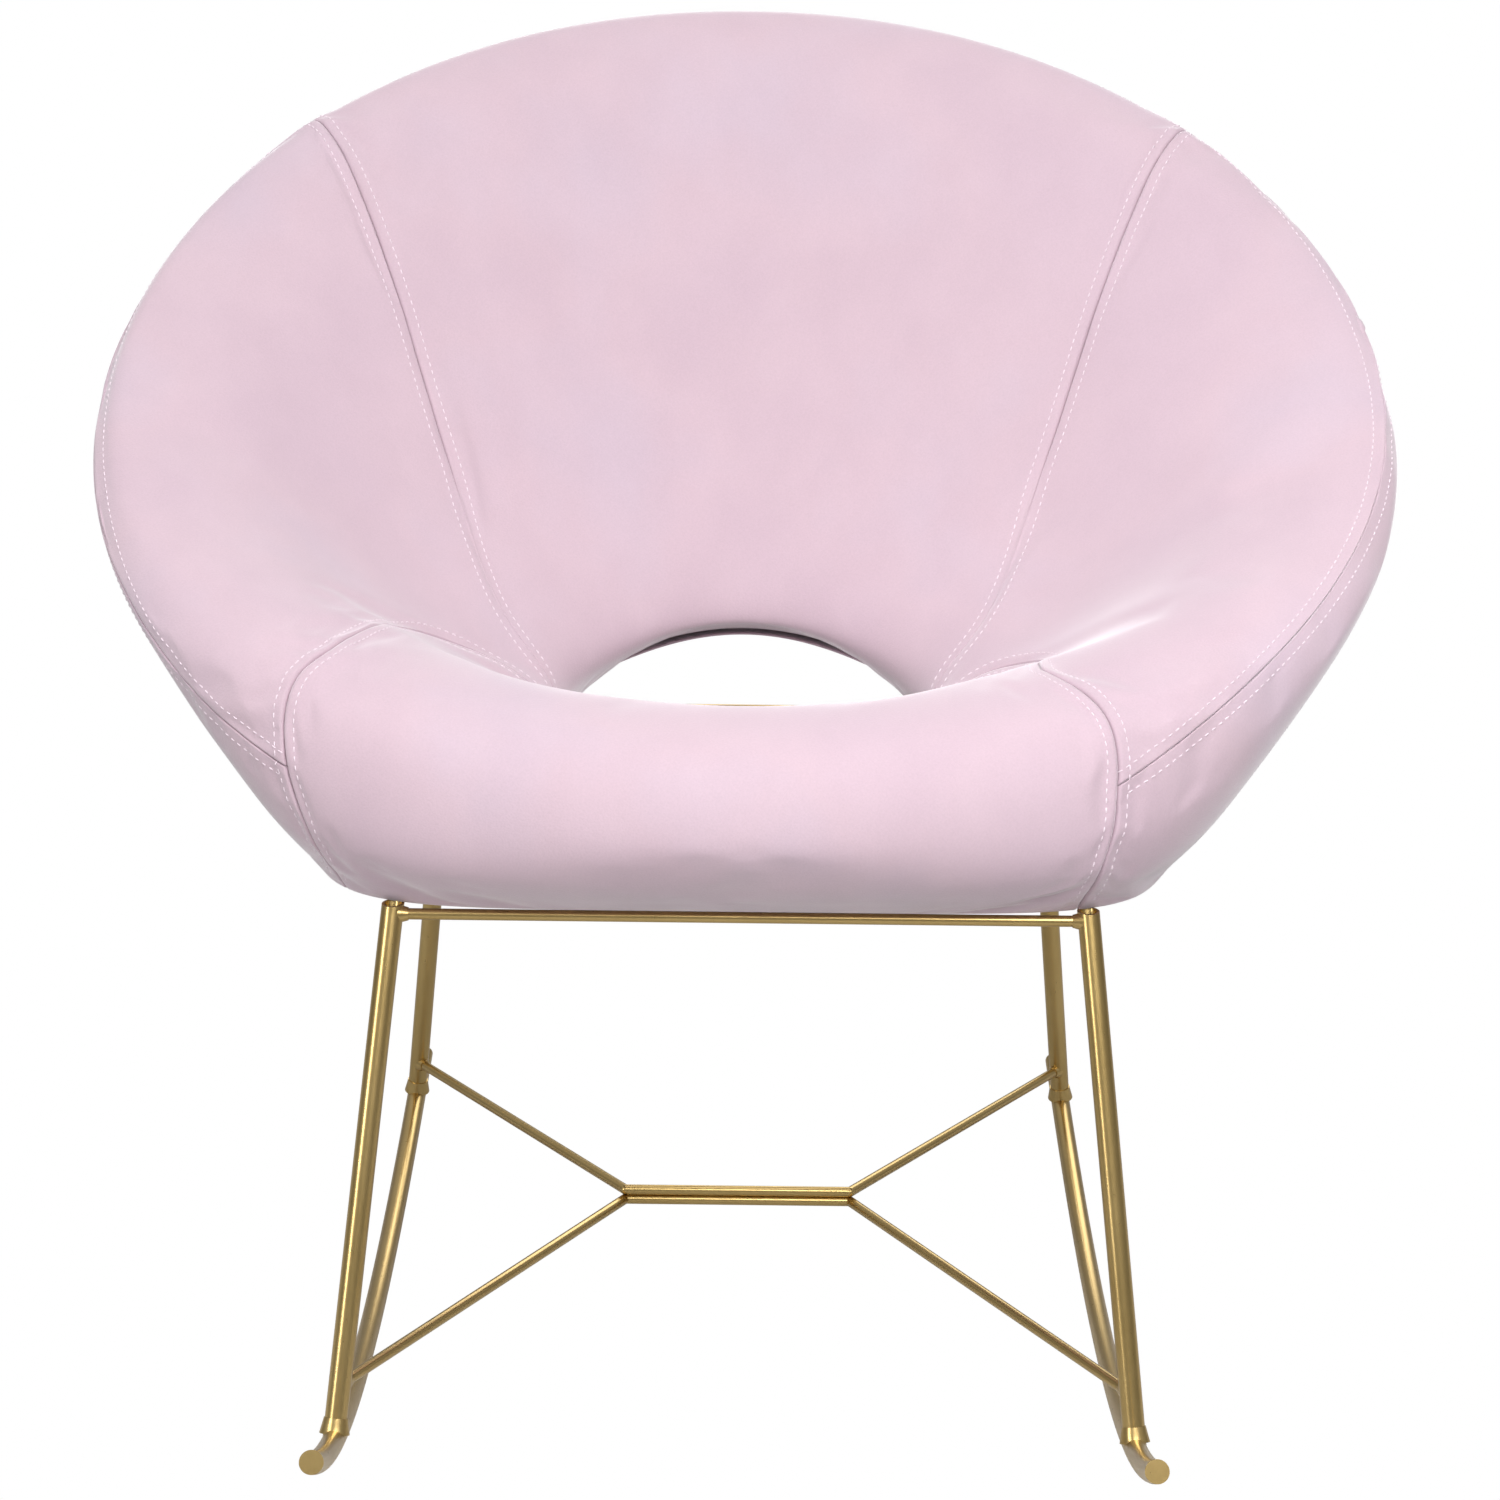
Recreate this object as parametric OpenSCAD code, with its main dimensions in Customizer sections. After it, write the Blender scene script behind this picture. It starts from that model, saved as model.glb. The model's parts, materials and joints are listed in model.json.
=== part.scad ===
// Rocking chair: an upholstered ring seat with a hole in its middle, on a welded rocker frame.
// The chair faces -Y and stands on Z = 0. Left (-X) and right (+X) are seen from the front.
// Every module draws in chair coordinates, whose Y = 0 is the middle of the seat frame, and
// placed() then moves it so that the origin is under the middle of the whole chair.

/* [Seat] */
// Width over the rim
seat_w = 782; // [740:2:820]
// Front face of the front roll, from the middle of the frame
seat_front_y = -260; // [-280:2:-250]
// Outermost point of the back's rim
seat_back_y = 364; // [350:2:380]
// Height of the front roll's crest
front_h = 448; // [435:1:460]
// Height of the rim halfway along the sides
side_h = 590; // [570:1:610]
// Height of the rim at the back
back_h = 775; // [740:1:800]
// Width of the seat's flat base
base_w = 492; // [480:2:510]
// Depth of the seat's flat base
base_d = 414; // [400:2:420]
// Width of the hole at its foot
hole_w = 262; // [240:2:280]
// Hole's front edge, from the middle of the frame
hole_front_y = -98; // [-110:1:-90]
// Hole's back edge at its foot
hole_back_y = 146; // [130:1:160]
// How far the underside lifts in an arch behind the hole
arch_h = 68; // [55:1:80]
// Half-width of that arch
arch_half_w = 150; // [140:1:160]

/* [Covers and foam] */
// Thickness of the velvet and its lining
cover_t = 2; // [1.5:0.5:3]
// Thickness of the outer padding near the base
outer_pad_t = 10; // [8:1:12]
// Thickness of the foam over the rim
rim_pad_t = 19; // [15:1:20]
// Thickness of the foam behind the sitter
inner_pad_t = 32; // [30:1:38]
// Thickness of the foam around the hole
hole_pad_t = 17; // [14:1:18]
// Thickness of the front roll's foam, under the sitter's legs
front_pad_t = 44; // [36:1:46]
// How far the covers' bottom edge hangs below the plywood
lip_drop = 1.2; // [0.5:0.1:1.3]
// Front seam on the left, as an angle from straight ahead
front_seam_left = 47; // [40:1:50]
// Front seam on the right, as an angle from straight ahead
front_seam_right = 38; // [36:1:50]
// Back seams at the rim, as an angle from straight ahead
back_seam = 124; // [118:1:130]

/* [Seat structure] */
// Thickness of the plywood base
board_t = 12; // [9:1:15]
// Gap from the edge of the seat's base to the plywood
board_inset = 13; // [12:1:16]
// Radius of the hole in the plywood
board_hole_r = 152; // [150:1:156]
// Thickness of the black dust cover
dust_t = 0.8; // [0.5:0.1:1]
// Diameter of the bent tube hoops
hoop_d = 12; // [12:1:16]
// Diameter of the struts between the base and the rim hoop
strut_d = 8; // [8:1:10]
// Width of the webbing straps
strap_w_deg = 7; // [5:1:9]

/* [Rocker frame] */
// Diameter of the leg and rocker tubes
tube_d = 12.7; // [12:0.1:14]
// Wall of those tubes
tube_wall = 1.5; // [1:0.1:2]
// Thickness of the discs that close the rocker tubes
end_cap_t = 1.5; // [1:0.5:3]
// Diameter of the rails and braces
rod_d = 6.4; // [6:0.1:7]
// Height of the rails' centre lines
rail_z = 333; // [325:1:340]
// Half the distance between the side rails
rail_half_w = 196; // [190:1:200]
// Half the distance between the front and rear rails
rail_half_d = 200; // [194:1:204]
// How far the side frames lean out for each millimetre down
lean_slope = 0.099; // [0.08:0.001:0.12]
// Radius of the rockers' centre lines
rocker_r = 972; // [900:1:1050]
// Lowest point of the rockers, from the middle of the frame
rocker_y = 14; // [-20:1:40]
// Angle from the lowest point to the front tip
front_tip_deg = 29.5; // [26:0.5:31]
// Angle from the lowest point to the rear tip
rear_tip_deg = 16.5; // [16:0.5:20]
// Angle from the lowest point to the foot of the front legs
front_foot_deg = 19.5; // [17:0.1:21]
// Angle from the lowest point to the foot of the rear legs
rear_foot_deg = 13.8; // [12:0.1:15]
// Half the length of the braces' middle bars
brace_half_bar = 71; // [60:1:80]
// The braces' middle bars, from the middle of the frame
brace_y = -8; // [-20:1:10]
// Height of the lower middle bar
brace_z = 72; // [65:1:85]
// Height at which the front brace meets the legs
front_brace_z = 90; // [80:1:100]
// Height at which the rear brace meets the legs
rear_brace_z = 60; // [56:1:70]

/* [Fasteners] */
// Side of the square mounting plates
plate_w = 32; // [28:1:40]
// Thickness of the mounting plates
plate_t = 3; // [2:0.5:4]
// Thread diameter of the seat bolts
bolt_d = 6; // [5:1:6]
// Distance of the seat bolts in front of and behind the middle of the frame
bolt_y = 120; // [100:1:140]

/* [Hidden] */
$fn = 48;

gold = [0.78, 0.62, 0.33];
zinc = [0.72, 0.72, 0.7];
velvet = [0.89, 0.75, 0.81];
ply = [0.8, 0.65, 0.45];
black_cloth = [0.08, 0.08, 0.08];
foam_colour = [0.95, 0.92, 0.8];
raw_steel = [0.35, 0.36, 0.38];
strap_colour = [0.85, 0.82, 0.72];

tube_r = tube_d / 2;
rod_r = rod_d / 2;
hoop_r = hoop_d / 2;
plate_z = rail_z + rod_r;
dust_z = plate_z + plate_t;
base_z = dust_z + dust_t;
lip_z = base_z - lip_drop;
lean_deg = atan(lean_slope);
rocker_half_w = rail_half_w + (rail_z - tube_r) * lean_slope;
sides = [-1, 1];

// ---- The outside of the seat ----
// It passes through nine closed curves, from the outer edge of the base, over the rim and down
// to the foot of the hole. Each row holds y and z at the front, y and z at the back, the half
// width, z at the sides, the squareness of the plan (2 is an ellipse) and its share of the arch.
rim_hw = seat_w / 2;
curves = [
    [-base_d / 2, lip_z, base_d / 2, lip_z, base_w / 2, lip_z, 5.5, 0.7],
    [seat_front_y + 12, base_z + 27, seat_back_y - 102, back_h - 297, base_w / 2 + 54, base_z + 77, 3.2, 0.37],
    [seat_front_y, base_z + 55, seat_back_y - 14, back_h - 89, rim_hw - 6, side_h - 54, 2.15, 0.12],
    [seat_front_y + 20, front_h - 15, seat_back_y, back_h - 13, rim_hw, side_h - 12, 2.05, 0],
    [seat_front_y + 67, front_h, seat_back_y - 28, back_h, rim_hw - 25, side_h, 2.05, 0],
    [seat_front_y + 110, front_h - 4, seat_back_y - 79, back_h - 59, rim_hw - 86, side_h - 32, 2, 0],
    [hole_front_y - 20, front_h - 28, hole_back_y + 49, base_z + 206, hole_w / 2 + 74, side_h - 122, 2, 0],
    [hole_front_y, base_z + 48, hole_back_y - 24, base_z + 84, hole_w / 2 - 12, base_z + 60, 2, 0],
    [hole_front_y, base_z, hole_back_y, base_z, hole_w / 2, base_z, 2.2, 1],
];
last = len(curves) - 1;

function mix(a, b, u) = a + (b - a) * u;
function unit(v) = v / norm(v);

// Point on one curve at azimuth a, where 0 is the front, 90 the right and 180 the back
function curve_point(k, a) =
    let (
        r = curves[k],
        half_d = (r[2] - r[0]) / 2,
        reach = pow(pow(abs(sin(a) / r[4]), r[6]) + pow(abs(cos(a) / half_d), r[6]), -1 / r[6]),
        x = reach * sin(a),
        c = reach * cos(a) / half_d,
        y = (r[0] + r[2]) / 2 - half_d * c,
        z = r[5] + (r[1] - r[3]) / 2 * c + ((r[1] + r[3]) / 2 - r[5]) * c * c,
        arch = arch_h * r[7] * pow(max(0, 1 - pow(x / arch_half_w, 2)), 1.3)
    )
    [x, y, z + arch * max(0, min(1, y / 100))];

// The curve's neighbours past either end carry the surface straight on
function control(k, a) =
    k < 0 ? 2 * curve_point(0, a) - curve_point(1, a)
    : k > last ? 2 * curve_point(last, a) - curve_point(last - 1, a)
    : curve_point(k, a);

// Point on the surface at azimuth a and t, which counts the curves from 0 to 8
function skin(a, t) =
    let (
        k = min(last - 1, max(0, floor(t))),
        u = t - k,
        p0 = control(k - 1, a),
        p1 = control(k, a),
        p2 = control(k + 1, a),
        p3 = control(k + 2, a)
    )
    (2 * p1 + (p2 - p0) * u + (2 * p0 - 5 * p1 + 4 * p2 - p3) * u * u
        + (3 * p1 - p0 - 3 * p2 + p3) * u * u * u) / 2;

function outward(a, t) =
    let (t0 = max(0, t - 0.02), t1 = min(last, t + 0.02))
    unit(cross(skin(a + 0.5, t) - skin(a - 0.5, t), skin(a, t1) - skin(a, t0)));

// Point at depth d under the surface
function under(a, t, d) = skin(a, t) - d * outward(a, t);

// ---- Seams ----
// Azimuth of a seam at each t, given as pairs
function front_left_edge(t) = -lookup(t, [
    [0, front_seam_left + 5], [2, front_seam_left], [3.8, front_seam_left],
    [4.3, front_seam_left + 1], [5, front_seam_left + 5], [5.5, 62], [6, 75], [6.6, 85], [8, 88]]);
function front_right_edge(t) = lookup(t, [
    [0, front_seam_right + 6], [2, front_seam_right], [4.1, front_seam_right],
    [4.6, front_seam_right + 1], [5.3, front_seam_right + 8], [5.9, 64], [6.4, 77], [6.6, 83], [8, 88]]);
function back_edge(t) = lookup(t, [
    [0, back_seam + 8], [2, back_seam + 3], [3.2, back_seam + 1], [4.4, back_seam - 2],
    [5.4, back_seam - 6], [6.1, back_seam - 12], [6.6, 99], [8, 94]]);
// t of the seam that runs round the outside of the rim, at each azimuth
function rim_seam_right(a) = lookup(a, [
    [37, 2.1], [46, 2.45], [57, 2.83], [69, 3.1], [80, 3.2], [120, 3.2], [180, 3.1]]);
function rim_seam_left(a) = lookup(a, [
    [45, 1.78], [58, 1.92], [70, 2.2], [90, 2.6], [120, 3.0], [180, 3.1]]);

// ---- Frame geometry ----
// Centre of a rocker tube at an angle behind its lowest point
function rocker_point(side, deg) =
    let (
        rise = rocker_r * (1 - cos(deg)) * cos(lean_deg),
        z = tube_r + rise
    )
    [side * (rail_half_w + (rail_z - z) * lean_slope), rocker_y + rocker_r * sin(deg), z];

function leg_top(side, end) = [side * rail_half_w, end * rail_half_d, rail_z];
function leg_foot(side, end) = rocker_point(side, end < 0 ? -front_foot_deg : rear_foot_deg);
// Point on a leg's centre line at height z
function leg_point(side, end, z) =
    let (top = leg_top(side, end), foot = leg_foot(side, end))
    mix(foot, top, (z - foot[2]) / (top[2] - foot[2]));

// ---- Where the origin is ----
front_tip_y = rocker_y - rocker_r * sin(front_tip_deg)
    - tube_r * sin(front_tip_deg) - end_cap_t * cos(front_tip_deg);
back_tip_y = max([for (t = [2 : 0.05 : 4]) skin(180, t)[1]]);
origin_y = (front_tip_y + back_tip_y) / 2;

module placed() {
    translate([0, -origin_y, 0]) children();
}

// ---- Helpers ----
module bar(from, to, r) {
    d = to - from;
    translate(from)
        rotate([0, acos(d[2] / norm(d)), atan2(d[1], d[0])])
            cylinder(h = norm(d), r = r);
}

// Cone that thins from r0 to r1 along the way from one point to another
module taper(from, to, r0, r1) {
    d = to - from;
    translate(from)
        rotate([0, acos(d[2] / norm(d)), atan2(d[1], d[0])])
            cylinder(h = norm(d), r1 = r0, r2 = r1);
}

// Arc of a rocker, as the ring between two radii of its tube
module rocker_arc(side, r_out, r_in, from_deg, to_deg) {
    translate([side * rocker_half_w, rocker_y, tube_r])
        rotate([0, -side * lean_deg, 0])
            translate([0, 0, rocker_r])
                rotate([90, 0, 90])
                    rotate([0, 0, from_deg - 90])
                        rotate_extrude(angle = to_deg - from_deg, $fn = 180)
                            translate([rocker_r, 0])
                                difference() {
                                    circle(r = r_out);
                                    if (r_in > 0) circle(r = r_in);
                                }
}

// Grid of points turned into a closed slab: rows of (u, v) points on its outer and inner faces
module slab(outer, inner) {
    nu = len(outer);
    nv = len(outer[0]);
    n = nu * nv;
    points = [for (row = outer) for (p = row) p, for (row = inner) for (p = row) p];
    function quad(a, b, c, d) = [[a, b, c], [a, c, d]];
    function at(i, j) = i * nv + j;
    faces = [
        for (i = [0 : nu - 2]) for (j = [0 : nv - 2])
            for (f = quad(at(i, j), at(i, j + 1), at(i + 1, j + 1), at(i + 1, j))) f,
        for (i = [0 : nu - 2]) for (j = [0 : nv - 2])
            for (f = quad(n + at(i, j), n + at(i + 1, j), n + at(i + 1, j + 1), n + at(i, j + 1))) f,
        for (i = [0 : nu - 2])
            for (f = quad(at(i, 0), at(i + 1, 0), n + at(i + 1, 0), n + at(i, 0))) f,
        for (i = [0 : nu - 2])
            for (f = quad(at(i + 1, nv - 1), at(i, nv - 1), n + at(i, nv - 1), n + at(i + 1, nv - 1))) f,
        for (j = [0 : nv - 2])
            for (f = quad(at(0, j + 1), at(0, j), n + at(0, j), n + at(0, j + 1))) f,
        for (j = [0 : nv - 2])
            for (f = quad(at(nu - 1, j), at(nu - 1, j + 1), n + at(nu - 1, j + 1), n + at(nu - 1, j))) f,
    ];
    polyhedron(points, faces);
}

// Closed round tube through a ring of points
module hoop(path, r, sides_n) {
    n = len(path);
    points = [for (i = [0 : n - 1])
        let (
            along = unit(path[(i + 1) % n] - path[(i + n - 1) % n]),
            across = unit(cross(along, [0, 0, 1])),
            up = cross(across, along)
        )
        for (s = [0 : sides_n - 1])
            path[i] + r * (cos(360 * s / sides_n) * across + sin(360 * s / sides_n) * up)];
    function at(i, s) = (i % n) * sides_n + s % sides_n;
    faces = [for (i = [0 : n - 1]) for (s = [0 : sides_n - 1])
        for (f = [[at(i, s), at(i, s + 1), at(i + 1, s + 1)], [at(i, s), at(i + 1, s + 1), at(i + 1, s)]])
            f];
    polyhedron(points, faces);
}

// ---- Upholstery ----
// Patch of the seat between two seams and two limits of t, from depth d0 to a depth that may
// change with t. Edge functions give the azimuth of the patch's sides.
module patch(edge0, edge1, t_low, t_high, nu, nv, d0, depth) {
    function t_at(u, v) = mix(t_low(u), t_high(u), v);
    function face(d) = [for (i = [0 : nu])
        [for (j = [0 : nv])
            let (t = t_at(i / nu, j / nv), a = mix(edge0(t), edge1(t), i / nu))
            under(a, t, d(t))]];
    slab(face(d0), face(depth));
}

no_depth = function (t) 0;
cover_depth = function (t) cover_t;
foam_top = function (t) cover_t + 0.3;
foam_depth = function (t) cover_t + 0.3 + lookup(t, [
    [0, outer_pad_t], [2, outer_pad_t + 2], [3, rim_pad_t - 1], [4, rim_pad_t],
    [5.2, inner_pad_t], [6.2, inner_pad_t - 6], [7, hole_pad_t], [8, hole_pad_t - 2]]);
front_foam_depth = function (t) cover_t + 0.3 + lookup(t, [
    [0, outer_pad_t], [0.6, outer_pad_t + 1], [2, front_pad_t - 8], [3, front_pad_t], [5.4, front_pad_t + 4],
    [6, front_pad_t - 4], [6.6, hole_pad_t + 4], [7, hole_pad_t], [8, hole_pad_t - 2]]);
base_line = function (u) 0;
hole_line = function (u) last;

left_front = function (t) front_left_edge(t);
right_front = function (t) front_right_edge(t);
left_back = function (t) -back_edge(t);
right_back = function (t) back_edge(t);
left_back_round = function (t) 360 - back_edge(t);
left_rim = function (u) rim_seam_left(-mix(left_front(3), left_back(3), u));
right_rim = function (u) rim_seam_right(mix(right_front(3), right_back(3), u));
back_rim = function (u)
    let (a = mix(right_back(3), left_back_round(3), u))
    a < 180 ? rim_seam_right(a) : rim_seam_left(360 - a);

module front_cover() {
    color(velvet) placed()
        patch(left_front, right_front, base_line, hole_line, 22, 24, no_depth, cover_depth);
}

module left_inside_cover() {
    color(velvet) placed()
        patch(left_back, left_front, function (u) left_rim(1 - u), hole_line, 16, 16, no_depth, cover_depth);
}

module right_inside_cover() {
    color(velvet) placed()
        patch(right_front, right_back, right_rim, hole_line, 16, 16, no_depth, cover_depth);
}

module back_inside_cover() {
    color(velvet) placed()
        patch(right_back, left_back_round, back_rim, hole_line, 24, 16, no_depth, cover_depth);
}

module left_outer_cover() {
    color(velvet) placed()
        patch(left_back, left_front, base_line, function (u) left_rim(1 - u), 16, 10, no_depth, cover_depth);
}

module right_outer_cover() {
    color(velvet) placed()
        patch(right_front, right_back, base_line, right_rim, 16, 10, no_depth, cover_depth);
}

module back_outer_cover() {
    color(velvet) placed()
        patch(right_back, left_back_round, base_line, back_rim, 24, 10, no_depth, cover_depth);
}

// Strip that closes the underside of the back over the arch
module rear_arch_cover() {
    span = 48;
    nu = 20;
    function strip(rise) = [for (i = [0 : nu])
        let (a = 180 + mix(-span, span, i / nu), foot = skin(a, last), edge = skin(a, 0))
        [for (v = [0.04, 0.5, 0.96]) mix(foot, edge, v) + [0, 0, rise]]];
    color(velvet) placed() slab(strip(0), strip(cover_t));
}

module front_foam() {
    color(foam_colour) placed()
        patch(left_front, right_front, base_line, hole_line, 16, 20, foam_top, front_foam_depth);
}

module left_foam() {
    color(foam_colour) placed()
        patch(left_back, left_front, base_line, hole_line, 12, 20, foam_top, foam_depth);
}

module right_foam() {
    color(foam_colour) placed()
        patch(right_front, right_back, base_line, hole_line, 12, 20, foam_top, foam_depth);
}

module back_foam() {
    color(foam_colour) placed()
        patch(right_back, left_back_round, base_line, hole_line, 20, 20, foam_top, foam_depth);
}

// ---- Structure inside the seat ----
rim_hoop_depth = cover_t + rim_pad_t + hoop_r + 3;
front_hoop_drop = front_pad_t - rim_pad_t + 2;
hole_hoop_depth = cover_t + hole_pad_t + hoop_r + 3;
hoop_step = 6;
// The rim hoop runs deeper across the front, behind the roll's thicker foam
function rim_hoop_point(a) =
    let (off_front = min(abs(a), 360 - abs(a)), s = max(0, min(1, (90 - off_front) / 35)))
    under(a, 3.7, rim_hoop_depth + front_hoop_drop * s * s * (3 - 2 * s));
function hole_hoop_point(a) = under(a, 7, hole_hoop_depth);
board_hole_y = (hole_front_y + hole_back_y) / 2;
board_corner_r = 90;
arch_notch_hw = arch_half_w - 4;

// Flat outline of the plywood and of the dust cover below it
module board_outline() {
    hw = base_w / 2 - board_inset;
    hd = base_d / 2 - board_inset;
    difference() {
        union() {
            square([2 * hw, 2 * (hd - board_corner_r)], center = true);
            square([2 * (hw - board_corner_r), 2 * hd], center = true);
            for (sx = sides, sy = sides)
                translate([sx * (hw - board_corner_r), sy * (hd - board_corner_r)])
                    circle(r = board_corner_r, $fn = 96);
        }
        translate([0, board_hole_y]) circle(r = board_hole_r, $fn = 120);
        translate([-arch_notch_hw, board_hole_y]) square([2 * arch_notch_hw, base_d]);
    }
}

module bolt_places() {
    for (sx = sides, sy = sides)
        translate([sx * (rail_half_w - plate_w / 2), sy * bolt_y, 0])
            mirror([sx < 0 ? 1 : 0, 0, 0]) children();
}

tee_barrel_r = bolt_d / 2 + 1;

module base_board() {
    color(ply) placed()
        difference() {
            translate([0, 0, base_z]) linear_extrude(board_t) board_outline();
            bolt_places() translate([0, 0, base_z - 1]) cylinder(h = board_t + 2, r = tee_barrel_r + 0.1);
        }
}

module dust_cover() {
    color(black_cloth) placed()
        difference() {
            translate([0, 0, dust_z]) linear_extrude(dust_t) board_outline();
            bolt_places() translate([0, 0, dust_z - 1]) cylinder(h = dust_t + 2, r = tee_barrel_r + 0.1);
        }
}

module rim_hoop() {
    color(raw_steel) placed()
        hoop([for (a = [0 : hoop_step : 359]) rim_hoop_point(a)], hoop_r, 10);
}

module hole_hoop() {
    color(raw_steel) placed()
        hoop([for (a = [0 : hoop_step : 359]) hole_hoop_point(a)], hoop_r, 10);
}

// Struts from the plywood up to the rim hoop: azimuth at the board and at the hoop
strut_azimuths = [[22, 20], [52, 48], [78, 80], [112, 112], [134, 146]];
strut_foot_inset = 14;

function strut_foot(a) =
    let (edge = skin(a, 0), inset = board_inset + strut_foot_inset)
    [edge[0] * (1 - inset / norm([edge[0], edge[1]])), edge[1] * (1 - inset / norm([edge[0], edge[1]])),
        base_z + board_t];

module hoop_struts() {
    color(raw_steel) placed()
        for (side = sides, pair = strut_azimuths) {
            foot = strut_foot(side * pair[0]);
            top = rim_hoop_point(side * pair[1]);
            bar(foot, top - hoop_r * unit(top - foot), strut_d / 2);
        }
}

// Short posts that hold the hole hoop off the plywood
module hole_hoop_posts() {
    color(raw_steel) placed()
        for (a = [-115, -75, -25, 25, 75, 115]) {
            top = hole_hoop_point(a);
            post_h = top[2] - hoop_r - base_z - board_t;
            reach = max(1, (board_hole_r + 8) / norm([top[0], top[1] - board_hole_y]));
            translate([top[0] * reach, board_hole_y + (top[1] - board_hole_y) * reach, base_z + board_t])
                cylinder(h = post_h, r = strut_d / 2);
        }
}

// Straps stretched behind the foam, from the rim hoop to the hole hoop
strap_t = 1.5;
strap_azimuths = [for (a = [-165 : 30 : 165]) if (abs(a) > 70) a];
function strap_depth(t) = foam_depth(t) + 0.7;
function strap_point(a, t, across, extra) =
    under(a + strap_w_deg / 2 * across * (t > 5.5 ? 1.4 : 1), t, strap_depth(t) + extra);
function strap_face(a, extra) = [for (across = [-1, 0, 1])
    [for (j = [0 : 8]) strap_point(a, mix(4.3, 6.6, j / 8), across, extra)]];

module webbing_straps() {
    color(strap_colour) placed()
        for (a = strap_azimuths) slab(strap_face(a, 0), strap_face(a, strap_t));
}

// ---- Rocker frame ----
module rocker(side) {
    color(gold) placed()
        rocker_arc(side, tube_r, tube_r - tube_wall, -front_tip_deg, rear_tip_deg);
}

module left_rocker() { rocker(-1); }
module right_rocker() { rocker(1); }

// Discs that close the ends of the rocker tubes
module rocker_end_caps() {
    cap_deg = end_cap_t / rocker_r * 180 / PI;
    color(gold) placed()
        for (side = sides) {
            rocker_arc(side, tube_r, 0, -front_tip_deg - cap_deg, -front_tip_deg);
            rocker_arc(side, tube_r, 0, rear_tip_deg, rear_tip_deg + cap_deg);
        }
}

leg_overrun = 14;
leg_top_z = dust_z - 0.7;

// Direction of a rocker where a leg stands on it
function rocker_way(side, end) =
    let (deg = end < 0 ? -front_foot_deg : rear_foot_deg)
    unit(rocker_point(side, deg + 1) - rocker_point(side, deg - 1));

// Short straight stand-in for the rocker under a leg, which copes the leg's end
module rocker_stub(side, end) {
    foot = leg_foot(side, end);
    reach = 3 * tube_r * rocker_way(side, end);
    bar(foot - reach, foot + reach, tube_r);
}

// Leg's outline, from inside its rocker to past its flat top
module leg_bar(side, end, r) {
    foot = leg_foot(side, end);
    top = leg_top(side, end);
    bar(foot, top + leg_overrun * unit(top - foot), r);
}

// Legs are drawn on the left and mirrored to the right
module leg(side, end) {
    color(gold) placed()
        mirror([side > 0 ? 1 : 0, 0, 0])
            difference() {
                leg_bar(-1, end, tube_r);
                leg_bar(-1, end, tube_r - tube_wall);
                rocker_stub(-1, end);
                translate([0, 0, leg_top_z + 50]) cube([2000, 2000, 100], center = true);
            }
}

module front_left_leg() { leg(-1, -1); }
module front_right_leg() { leg(1, -1); }
module rear_left_leg() { leg(-1, 1); }
module rear_right_leg() { leg(1, 1); }

// Rail across the front or the rear, coped against the legs
module cross_rail(end) {
    color(gold) placed()
        difference() {
            bar(leg_top(-1, end), leg_top(1, end), rod_r);
            for (side = sides) leg_bar(side, end, tube_r);
        }
}

module side_rail(side) {
    color(gold) placed()
        difference() {
            bar(leg_top(side, -1), leg_top(side, 1), rod_r);
            for (end = sides) leg_bar(side, end, tube_r);
        }
}

module front_rail() { cross_rail(-1); }
module rear_rail() { cross_rail(1); }
module left_side_rail() { side_rail(-1); }
module right_side_rail() { side_rail(1); }

// Bent rod of a brace: its middle bar, an arm to each leg and a ball at each bend
module brace_rod(end, bar_z, leg_z) {
    for (side = sides) {
        bend = [side * brace_half_bar, brace_y, bar_z];
        bar(bend, leg_point(side, end, leg_z), rod_r);
        translate(bend) sphere(r = rod_r);
    }
    bar([-brace_half_bar, brace_y, bar_z], [brace_half_bar, brace_y, bar_z], rod_r);
}

module brace(end, bar_z, leg_z) {
    color(gold) placed()
        difference() {
            brace_rod(end, bar_z, leg_z);
            for (side = sides) leg_bar(side, end, tube_r);
        }
}

module front_brace() { brace(-1, brace_z, front_brace_z); }
module rear_brace() { brace(1, brace_z + rod_d, rear_brace_z); }

// Bead of weld round the end of a bar, where it meets the round surface of another
module bead(joint, away, bar_r, host_r) {
    dir = unit(away);
    bead_h = host_r + bar_r * 0.95;
    difference() {
        taper(joint + (host_r * 0.55) * dir, joint + bead_h * dir, bar_r + 2.2, bar_r + 0.5);
        bar(joint, joint + 3 * host_r * dir, bar_r);
        children();
    }
}

module weld_beads() {
    color(gold) placed()
        for (side = sides, end = sides) {
            top = leg_top(side, end);
            foot = leg_foot(side, end);
            bead(foot, top - foot, tube_r, tube_r) rocker_stub(side, end);
            bead(top, [-side, 0, 0], rod_r, tube_r) leg_bar(side, end, tube_r);
            bead(top, [0, -end, 0], rod_r, tube_r) leg_bar(side, end, tube_r);
            leg_z = end < 0 ? front_brace_z : rear_brace_z;
            bar_z = end < 0 ? brace_z : brace_z + rod_d;
            joint = leg_point(side, end, leg_z);
            bead(joint, [side * brace_half_bar, brace_y, bar_z] - joint, rod_r, tube_r)
                leg_bar(side, end, tube_r);
        }
}

bolt_hole_r = bolt_d / 2 + 0.3;

module mounting_plates() {
    color(gold) placed()
        bolt_places()
            difference() {
                translate([-plate_w / 2, -plate_w / 2, plate_z]) cube([plate_w + rod_r, plate_w, plate_t]);
                translate([0, 0, plate_z - 1]) cylinder(h = plate_t + 2, r = bolt_hole_r);
            }
}

washer_t = 1.2;
head_h = 3.5;

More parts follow.
